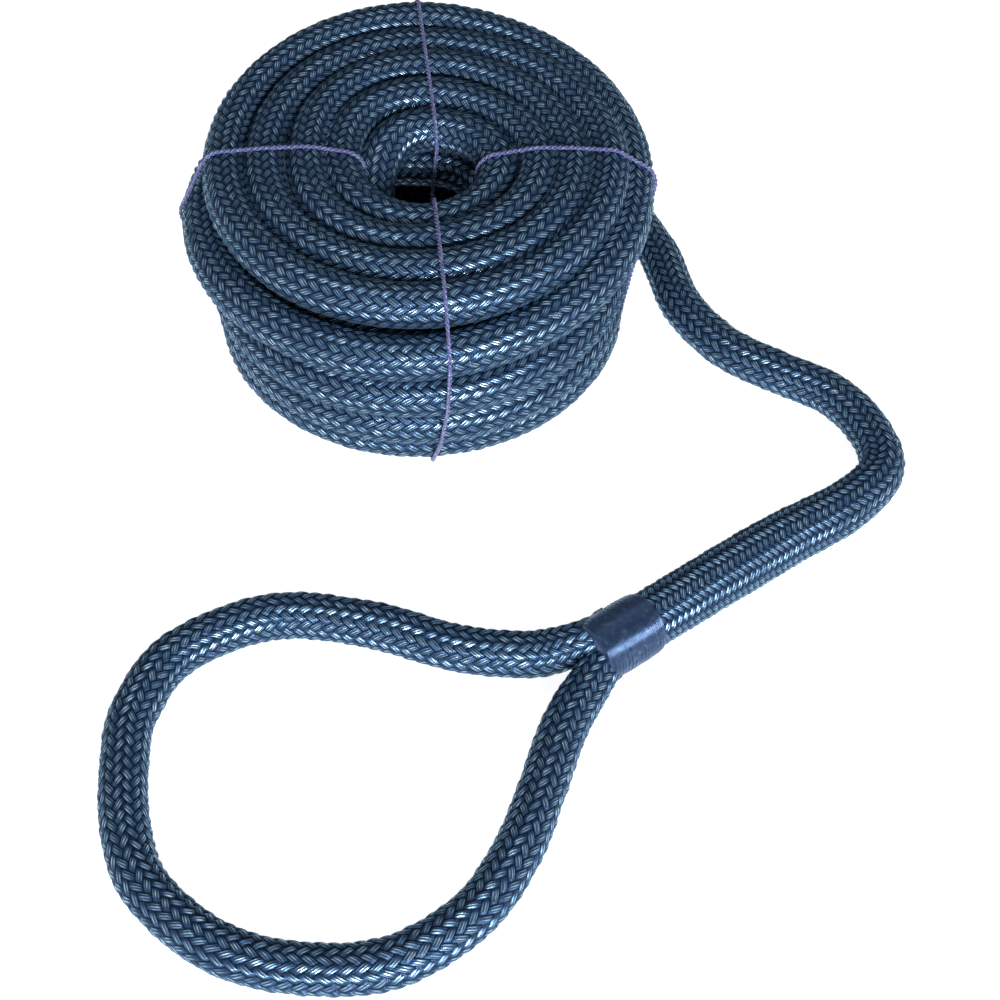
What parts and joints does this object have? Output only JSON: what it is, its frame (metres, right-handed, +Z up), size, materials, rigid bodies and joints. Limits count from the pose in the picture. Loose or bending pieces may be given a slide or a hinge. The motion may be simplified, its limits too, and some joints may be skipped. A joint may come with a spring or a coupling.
{
  "type": "coiled dock line",
  "caption": "Double-braided dock line in a dense, string-tied coil, with a free lead that turns back to a whipped eye splice.",
  "frame": {"origin": "centre of the bounding box's base, on the floor that the line lies on", "axes": "+Z up; +Y from the eye towards the coil; +X towards the side on which the line leaves the coil"},
  "size_m": [0.3457, 0.4948, 0.0972],
  "materials": {
    "rope_cover": "navy braided filament with a soft sheen",
    "rope_core": "undyed braided filament",
    "whipping_twine": "navy waxed twine, satin",
    "tie_string": "violet-blue twisted string"
  },
  "bodies": {
    "root": {"coil": "rope_cover", "bitter_end": "rope_cover", "lead_cover": "rope_cover", "lead_core": "rope_core", "splice_cover": "rope_cover", "splice_core": "rope_core", "splice_tail": "rope_cover", "whipping": "whipping_twine", "eye_cover": "rope_cover", "eye_core": "rope_core", "tie_right": "tie_string", "tie_back": "tie_string", "tie_left": "tie_string", "tie_front": "tie_string"}
  },
  "joints": []
}
